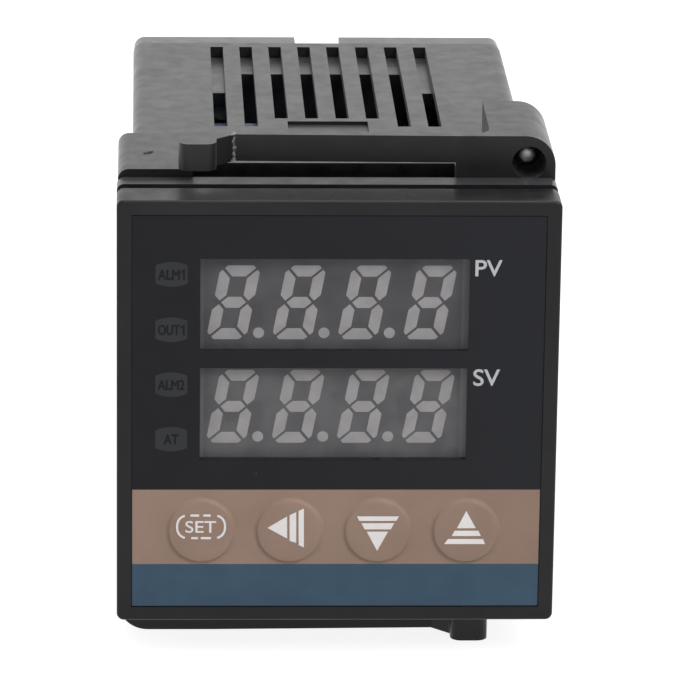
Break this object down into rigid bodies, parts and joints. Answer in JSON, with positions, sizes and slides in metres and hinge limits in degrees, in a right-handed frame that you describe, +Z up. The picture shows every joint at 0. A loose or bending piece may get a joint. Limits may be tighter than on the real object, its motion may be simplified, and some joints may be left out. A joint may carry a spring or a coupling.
{
  "type": "panel-mounted pid temperature controller",
  "caption": "Square-fronted digital temperature controller with stacked number displays, film-covered keys, a vented case and a sliding panel bracket",
  "frame": {"origin": "on the case's axis, in the plane of the flange's rear face, which stops against the panel's front skin", "axes": "+X to the right seen from the front, +Y back through the panel towards the terminals, +Z up"},
  "size_m": [0.048, 0.0796, 0.0574],
  "materials": {
    "case_plastic": "satin black moulding",
    "bezel_plastic": "satin black moulding",
    "bracket_plastic": "satin black moulding",
    "terminal_plastic": "satin black moulding",
    "label_film": "smooth printed film, black with a brown and a blue band",
    "key_plastic": "moulded",
    "switch_plastic": "moulded",
    "display_resin": "grey display face",
    "segment_resin": "cast translucent bars, unlit",
    "lamp_resin": "cast resin, unlit",
    "board_laminate": "green solder mask",
    "header_plastic": "moulded",
    "core_steel": "stacked laminations",
    "coil_tape": "taped winding",
    "relay_case": "moulded case",
    "capacitor_sleeve": "shrunk sleeve",
    "chip_body": "moulded",
    "contact_brass": "bright stamped",
    "screw_steel": "bright zinc plate"
  },
  "bodies": {
    "instrument": {"case": "case_plastic", "front_bezel": "bezel_plastic", "front_overlay": "label_film", "key_switches": "switch_plastic", "pv_display": "display_resin", "sv_display": "display_resin", "pv_segments": "segment_resin", "sv_segments": "segment_resin", "indicator_leds": "lamp_resin", "display_board": "board_laminate", "power_board": "board_laminate", "control_board": "board_laminate", "board_headers": "header_plastic", "transformer_core": "core_steel", "transformer_coil": "coil_tape", "output_relay": "relay_case", "alarm_relay": "relay_case", "smoothing_capacitor": "capacitor_sleeve", "controller_chip": "chip_body", "terminal_block": "terminal_plastic", "terminal_contacts": "contact_brass", "terminal_clamps": "screw_steel", "terminal_screws": "screw_steel"},
    "bracket": {"mounting_bracket": "bracket_plastic"},
    "upper_jack": {"upper_jack_screw": "screw_steel"},
    "lower_jack": {"lower_jack_screw": "screw_steel"},
    "set_key": {"set_key_plunger": "key_plastic"},
    "shift_key": {"shift_key_plunger": "key_plastic"},
    "down_key": {"down_key_plunger": "key_plastic"},
    "up_key": {"up_key_plunger": "key_plastic"}
  },
  "joints": [
    {"name": "bracket_slide", "type": "slide", "parent": "instrument", "child": "bracket", "axis": [0, 1, 0], "range_m": [0, 0.016]},
    {"name": "upper_jack_travel", "type": "slide", "parent": "bracket", "child": "upper_jack", "axis": [0, -1, 0], "range_m": [0, 0.006]},
    {"name": "lower_jack_travel", "type": "slide", "parent": "bracket", "child": "lower_jack", "axis": [0, -1, 0], "range_m": [0, 0.006]},
    {"name": "set_key_press", "type": "slide", "parent": "instrument", "child": "set_key", "axis": [0, 1, 0], "range_m": [0, 0.00035], "stiffness_N_per_m": 2000},
    {"name": "shift_key_press", "type": "slide", "parent": "instrument", "child": "shift_key", "axis": [0, 1, 0], "range_m": [0, 0.00035], "stiffness_N_per_m": 2000},
    {"name": "down_key_press", "type": "slide", "parent": "instrument", "child": "down_key", "axis": [0, 1, 0], "range_m": [0, 0.00035], "stiffness_N_per_m": 2000},
    {"name": "up_key_press", "type": "slide", "parent": "instrument", "child": "up_key", "axis": [0, 1, 0], "range_m": [0, 0.00035], "stiffness_N_per_m": 2000}
  ]
}
